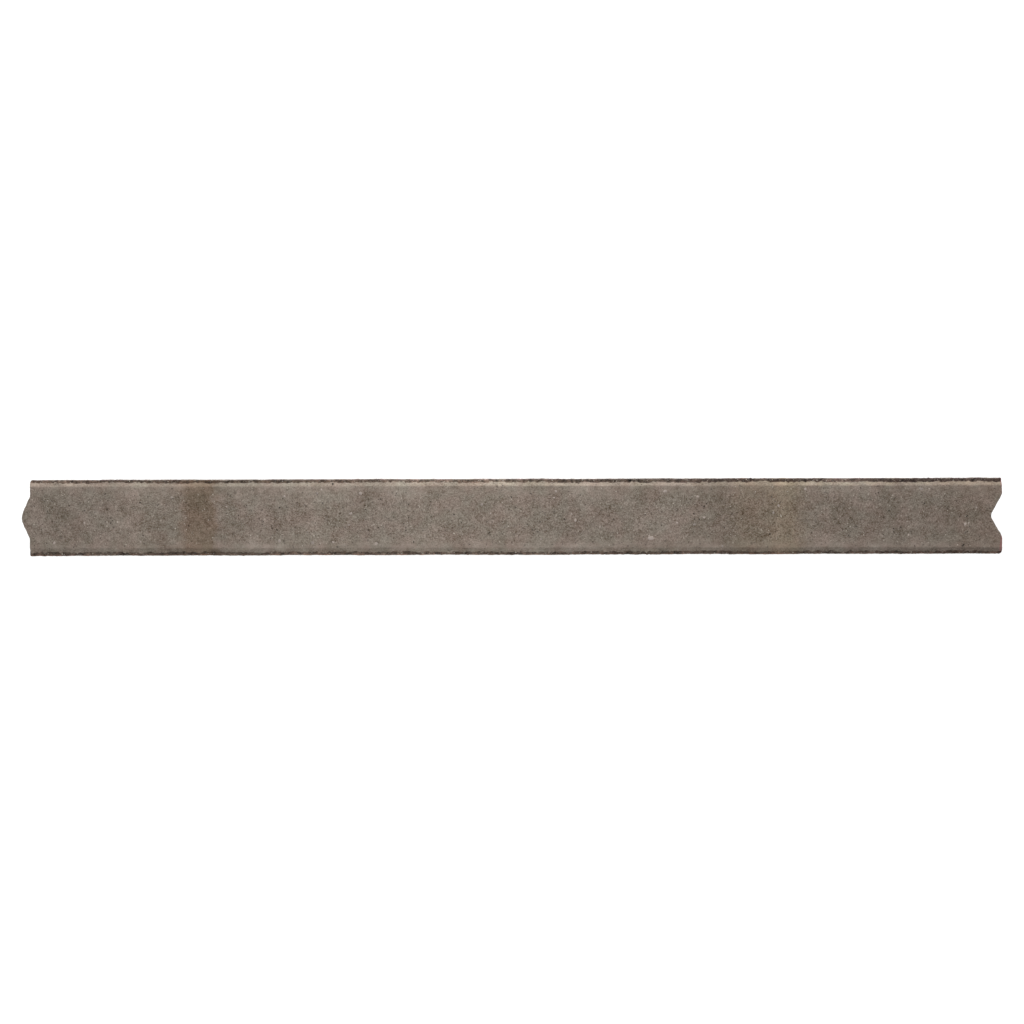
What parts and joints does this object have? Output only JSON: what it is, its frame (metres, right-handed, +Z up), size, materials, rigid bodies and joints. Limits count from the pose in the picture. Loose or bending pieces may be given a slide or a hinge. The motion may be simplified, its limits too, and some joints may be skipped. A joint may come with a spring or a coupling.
{
  "type": "concrete edger",
  "caption": "Long precast concrete edging unit with chamfered top edges, an upright tongue at one end and a matching groove at the other, laid end to end as a border.",
  "frame": {"origin": "centre of the overall box in plan, on the bed face that the unit stands on", "axes": "+Z up to the visible top face, +X along the unit from the tongue end to the groove end, +Y across the unit to its back side"},
  "size_m": [1.0084, 0.078, 0.2],
  "materials": {
    "core_concrete": "matte",
    "facing_concrete": "matte"
  },
  "bodies": {
    "root": {"core_block": "core_concrete", "facing_layer": "facing_concrete"}
  },
  "joints": []
}
